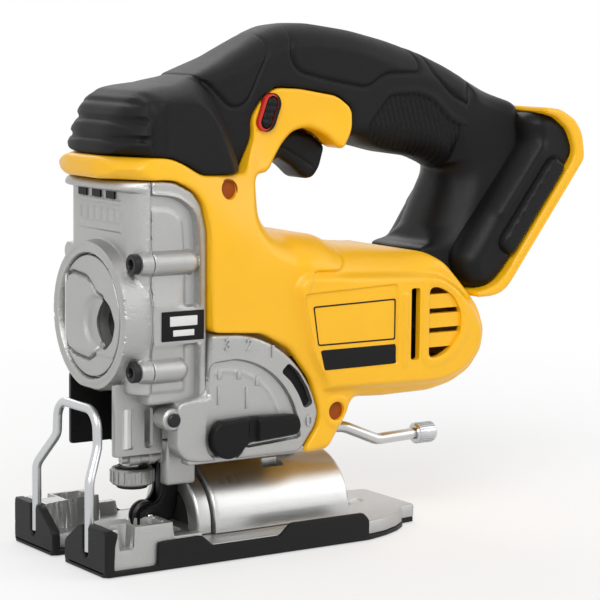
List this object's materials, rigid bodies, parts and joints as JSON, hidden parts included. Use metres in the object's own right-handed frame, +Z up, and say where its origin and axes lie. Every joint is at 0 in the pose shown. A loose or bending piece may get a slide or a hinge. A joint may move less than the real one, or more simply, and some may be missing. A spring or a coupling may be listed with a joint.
{
  "type": "jigsaw power tool",
  "caption": "Cordless D-handle jigsaw: clamshell housing, cast gearcase, sprung trigger, orbital lever, bevelling shoe with wire guard and keyless blade clamp.",
  "frame": {"origin": "centre of the bounding box, on the sole of the shoe", "axes": "-X is the cutting direction, +X towards the battery, -Y the tool's left side, +Z up"},
  "size_m": [0.234, 0.075, 0.208],
  "materials": {
    "yellow_plastic": "satin moulded",
    "black_rubber": "soft overmould",
    "black_plastic": "moulded",
    "cast_aluminium": "satin cast",
    "bright_steel": "bright",
    "black_steel": "blackened",
    "brass": "sintered",
    "copper": "turned copper"
  },
  "bodies": {
    "housing": {"left_housing": "yellow_plastic", "right_housing": "yellow_plastic", "left_grip": "black_rubber", "right_grip": "black_rubber", "nose_bumper": "black_rubber", "left_foot": "black_plastic", "right_foot": "black_plastic", "battery_rail_plate": "yellow_plastic", "terminal_block": "black_plastic", "gearcase_front": "cast_aluminium", "gearcase_rear": "cast_aluminium", "gearcase_screw_1": "black_steel", "gearcase_screw_2": "black_steel", "gearcase_screw_3": "black_steel", "gearcase_screw_4": "black_steel", "housing_screw_1": "black_steel", "housing_screw_2": "black_steel", "lever_pin": "bright_steel", "clamp_guard": "cast_aluminium", "chip_deflector": "black_plastic", "lower_bushing": "brass", "upper_bushing": "brass", "gear_axle": "bright_steel", "front_bearing": "bright_steel", "rear_bearing": "bright_steel", "end_bell": "black_plastic", "motor_can": "black_steel", "left_brush": "black_plastic", "right_brush": "black_plastic", "speed_switch": "black_plastic", "arm_pin": "bright_steel", "bevel_clamp_screw": "bright_steel", "trigger_spring": "bright_steel"},
    "release_lever": {"blade_release_lever": "cast_aluminium"},
    "rotor": {"armature": "bright_steel", "commutator": "copper", "motor_fan": "black_plastic", "pinion": "bright_steel"},
    "gear": {"drive_gear": "bright_steel", "counterweight": "black_steel"},
    "plunger": {"plunger_shaft": "bright_steel", "blade_clamp": "black_steel"},
    "collar": {"clamp_collar": "bright_steel"},
    "blade_guide": {"roller_arm": "black_steel", "roller_pin": "bright_steel"},
    "roller": {"guide_roller": "bright_steel"},
    "orbital": {"orbital_lever": "black_plastic"},
    "trigger_lever": {"trigger": "black_plastic"},
    "lock_button": {"lock_off_button": "black_plastic"},
    "bevel_handle": {"bevel_lever": "bright_steel", "lever_knob": "bright_steel"},
    "shoe": {"shoe_plate": "cast_aluminium", "shoe_cover": "black_plastic", "bevel_quadrant": "cast_aluminium", "finger_guard": "bright_steel"}
  },
  "joints": [
    {"name": "shoe_bevel", "type": "hinge", "parent": "housing", "child": "shoe", "pos_m": [-0.065, 0, 0.01], "axis": [1, 0, 0], "range_deg": [-45, 45]},
    {"name": "bevel_lever_swing", "type": "hinge", "parent": "housing", "child": "bevel_handle", "pos_m": [-0.013, 0, 0.04], "axis": [0, 0, -1], "range_deg": [0, 50]},
    {"name": "orbital_lever_turn", "type": "hinge", "parent": "housing", "child": "orbital", "pos_m": [-0.06, -0.034, 0.048], "axis": [0, -1, 0], "range_deg": [0, 90]},
    {"name": "blade_guide_swing", "type": "hinge", "parent": "housing", "child": "blade_guide", "pos_m": [-0.07, 0, 0.0343], "axis": [0, 1, 0], "range_deg": [0, 3], "stiffness_Nm_per_rad": 0.05},
    {"name": "roller_spin", "type": "hinge", "parent": "blade_guide", "child": "roller", "pos_m": [-0.0785, 0, 0.013], "axis": [0, 1, 0], "continuous": true},
    {"name": "plunger_stroke", "type": "slide", "parent": "housing", "child": "plunger", "axis": [0, 0, 1], "range_m": [0, 0.0254]},
    {"name": "blade_release", "type": "hinge", "parent": "housing", "child": "release_lever", "pos_m": [-0.10195, 0.0205, 0.0947], "axis": [0, 0, -1], "range_deg": [0, 60], "stiffness_Nm_per_rad": 0.05},
    {"name": "collar_turn", "type": "hinge", "parent": "plunger", "child": "collar", "pos_m": [-0.084, 0, 0.03], "axis": [0, 0, 1], "range_deg": [0, 40]},
    {"name": "rotor_spin", "type": "hinge", "parent": "housing", "child": "rotor", "pos_m": [0.003, 0, 0.083], "axis": [1, 0, 0], "continuous": true},
    {"name": "gear_spin", "type": "hinge", "parent": "housing", "child": "gear", "pos_m": [-0.0713, 0, 0.1012], "axis": [1, 0, 0], "continuous": true},
    {"name": "trigger_pull", "type": "slide", "parent": "housing", "child": "trigger_lever", "axis": [0.342, 0, 0.9397], "range_m": [0, 0.0045], "stiffness_N_per_m": 600, "springref_m": -0.003, "deforming": ["trigger_spring"]},
    {"name": "lock_button_slide", "type": "slide", "parent": "housing", "child": "lock_button", "axis": [0, 1, 0], "range_m": [0, 0.0035], "stiffness_N_per_m": 400, "springref_m": -0.002}
  ],
  "couplings": [
    {"joint": "gear_spin", "follows": "rotor_spin", "ratio": -0.18182},
    {"joint": "collar_turn", "follows": "blade_release", "ratio": 0.66666}
  ]
}
